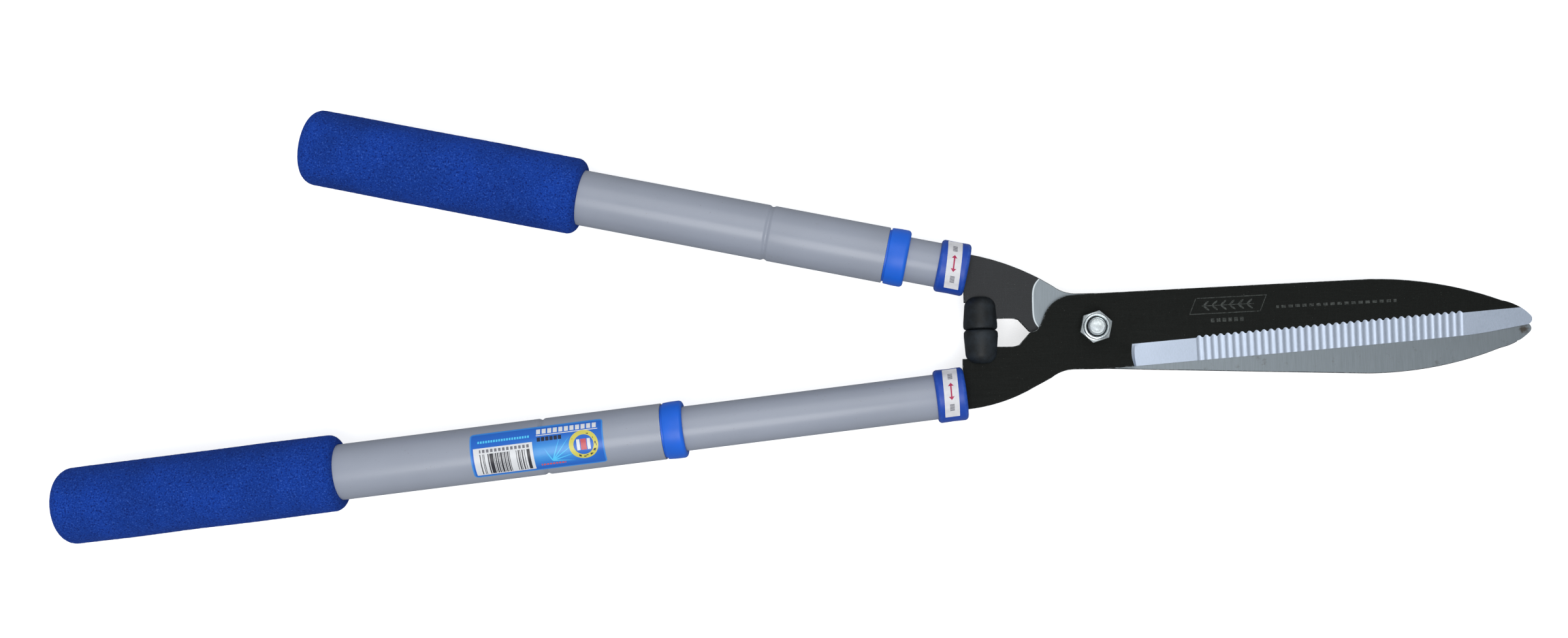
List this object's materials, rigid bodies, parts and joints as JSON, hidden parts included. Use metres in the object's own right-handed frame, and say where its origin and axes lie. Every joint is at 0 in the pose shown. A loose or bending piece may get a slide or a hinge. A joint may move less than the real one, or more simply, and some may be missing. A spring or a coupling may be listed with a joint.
{
  "type": "hedge shears",
  "caption": "Hand hedge shears with long fluted blades, a bolted pivot, rubber stops and telescopic twist-lock tube handles with foam grips.",
  "frame": {"origin": "on the pivot axis, in the plane where the two blades slide on each other", "axes": "+X from the pivot to the blade tips, +Y towards the upper handle, +Z along the pivot bolt towards its nut"},
  "size_m": [0.838, 0.2512, 0.0486],
  "materials": {
    "blade": "black coating, ground bevel and inner face bare",
    "zinc": "bright zinc plate",
    "nylon": "dark nylon ring",
    "rubber": "black moulded rubber",
    "blue_plastic": "moulded blue plastic",
    "label": "white printed label",
    "tube_paint": "light grey enamel",
    "inner_plastic": "dark moulded plastic",
    "pin_steel": "plain steel",
    "foam": "closed-cell foam, matte",
    "sticker": "printed sticker"
  },
  "bodies": {
    "front_lever": {"front_blade": "blade", "pivot_bolt": "zinc", "pivot_nut": "zinc", "nut_insert": "nylon", "pivot_washer": "zinc", "lower_bumper": "rubber", "lower_ferrule": "blue_plastic", "lower_twist_label": "label", "lower_tang_plug": "inner_plastic", "lower_tang_pin": "pin_steel", "lower_inner_tube": "tube_paint", "lower_lock_plug": "inner_plastic"},
    "rear_lever": {"rear_blade": "blade", "upper_bumper": "rubber", "upper_ferrule": "blue_plastic", "upper_twist_label": "label", "upper_tang_plug": "inner_plastic", "upper_tang_pin": "pin_steel", "upper_inner_tube": "tube_paint", "upper_lock_plug": "inner_plastic"},
    "lower_lock": {"lower_lock_ring": "inner_plastic"},
    "lower_grip": {"lower_outer_tube": "tube_paint", "lower_guide_collar": "blue_plastic", "lower_end_plug": "inner_plastic", "lower_foam_grip": "foam", "product_sticker": "sticker"},
    "upper_lock": {"upper_lock_ring": "inner_plastic"},
    "upper_grip": {"upper_outer_tube": "tube_paint", "upper_guide_collar": "blue_plastic", "upper_end_plug": "inner_plastic", "upper_foam_grip": "foam"}
  },
  "joints": [
    {"name": "blade_pivot", "type": "hinge", "parent": "front_lever", "child": "rear_lever", "pos_m": [0, 0, 0], "axis": [0, 0, -1], "range_deg": [0, 60]},
    {"name": "lower_twist", "type": "hinge", "parent": "front_lever", "child": "lower_lock", "pos_m": [-0.33131, -0.06466, 0.00175], "axis": [-0.9939, -0.1106, 0], "range_deg": [0, 90]},
    {"name": "lower_extension", "type": "slide", "parent": "lower_lock", "child": "lower_grip", "axis": [-0.9939, -0.1106, 0], "range_m": [-0.1423, 0.012]},
    {"name": "upper_twist", "type": "hinge", "parent": "rear_lever", "child": "upper_lock", "pos_m": [-0.32467, 0.08753, -0.00175], "axis": [-0.9784, 0.2069, 0], "range_deg": [0, 90]},
    {"name": "upper_extension", "type": "slide", "parent": "upper_lock", "child": "upper_grip", "axis": [-0.9784, 0.2069, 0], "range_m": [-0.0175, 0.137]}
  ]
}
